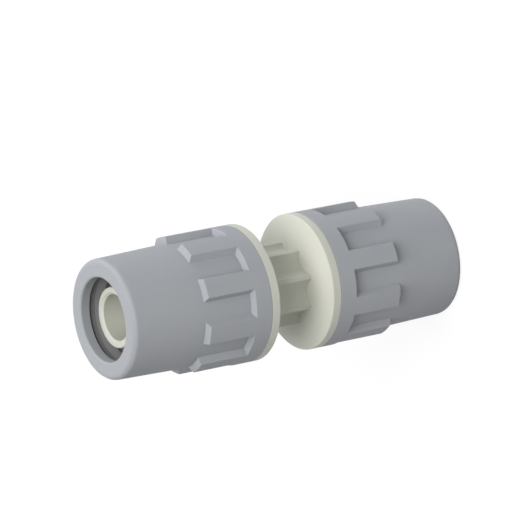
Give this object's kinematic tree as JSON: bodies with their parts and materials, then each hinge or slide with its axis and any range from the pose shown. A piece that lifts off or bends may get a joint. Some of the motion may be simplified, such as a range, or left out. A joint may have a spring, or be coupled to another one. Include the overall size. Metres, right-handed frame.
{
  "type": "straight pipe coupling",
  "caption": "Straight coupling for plastic pipe: a cream moulded body with a fluted hub and flanges, and a grey castellated screw cap at each end.",
  "frame": {"origin": "the middle of the body, on the pipe axis", "axes": "+Z along the pipe axis to the upper cap; +X through the middle of a grip rib; -Y is the side that the camera sees"},
  "size_m": [0.0268, 0.0268, 0.0754],
  "materials": {
    "cap_plastic": "grey moulded plastic, fine satin",
    "body_plastic": "cream moulded plastic, smooth satin",
    "clamp_plastic": "dark grey moulded plastic, satin",
    "seal_rubber": "black rubber"
  },
  "bodies": {
    "body": {"fitting_body": "body_plastic", "upper_outer_o_ring": "seal_rubber", "upper_inner_o_ring": "seal_rubber", "lower_outer_o_ring": "seal_rubber", "lower_inner_o_ring": "seal_rubber"},
    "upper_clamp": {"upper_clamp_ring": "clamp_plastic"},
    "upper_cap": {"upper_cap": "cap_plastic"},
    "lower_clamp": {"lower_clamp_ring": "clamp_plastic"},
    "lower_cap": {"lower_cap": "cap_plastic"}
  },
  "joints": [
    {"name": "upper_cap_travel", "type": "slide", "parent": "body", "child": "upper_clamp", "axis": [0, 0, 1], "range_m": [0, 0.0081]},
    {"name": "upper_cap_turn", "type": "hinge", "parent": "upper_clamp", "child": "upper_cap", "pos_m": [0, 0, 0.0227], "axis": [0, 0, 1], "range_deg": [0, 1440]},
    {"name": "lower_cap_travel", "type": "slide", "parent": "body", "child": "lower_clamp", "axis": [0, 0, -1], "range_m": [0, 0.0081]},
    {"name": "lower_cap_turn", "type": "hinge", "parent": "lower_clamp", "child": "lower_cap", "pos_m": [0, 0, -0.0227], "axis": [0, 0, -1], "range_deg": [0, 1440]}
  ],
  "couplings": [
    {"joint": "upper_cap_travel", "follows": "upper_cap_turn", "m_per_rad": 0.00031831},
    {"joint": "lower_cap_travel", "follows": "lower_cap_turn", "m_per_rad": 0.00031831}
  ]
}
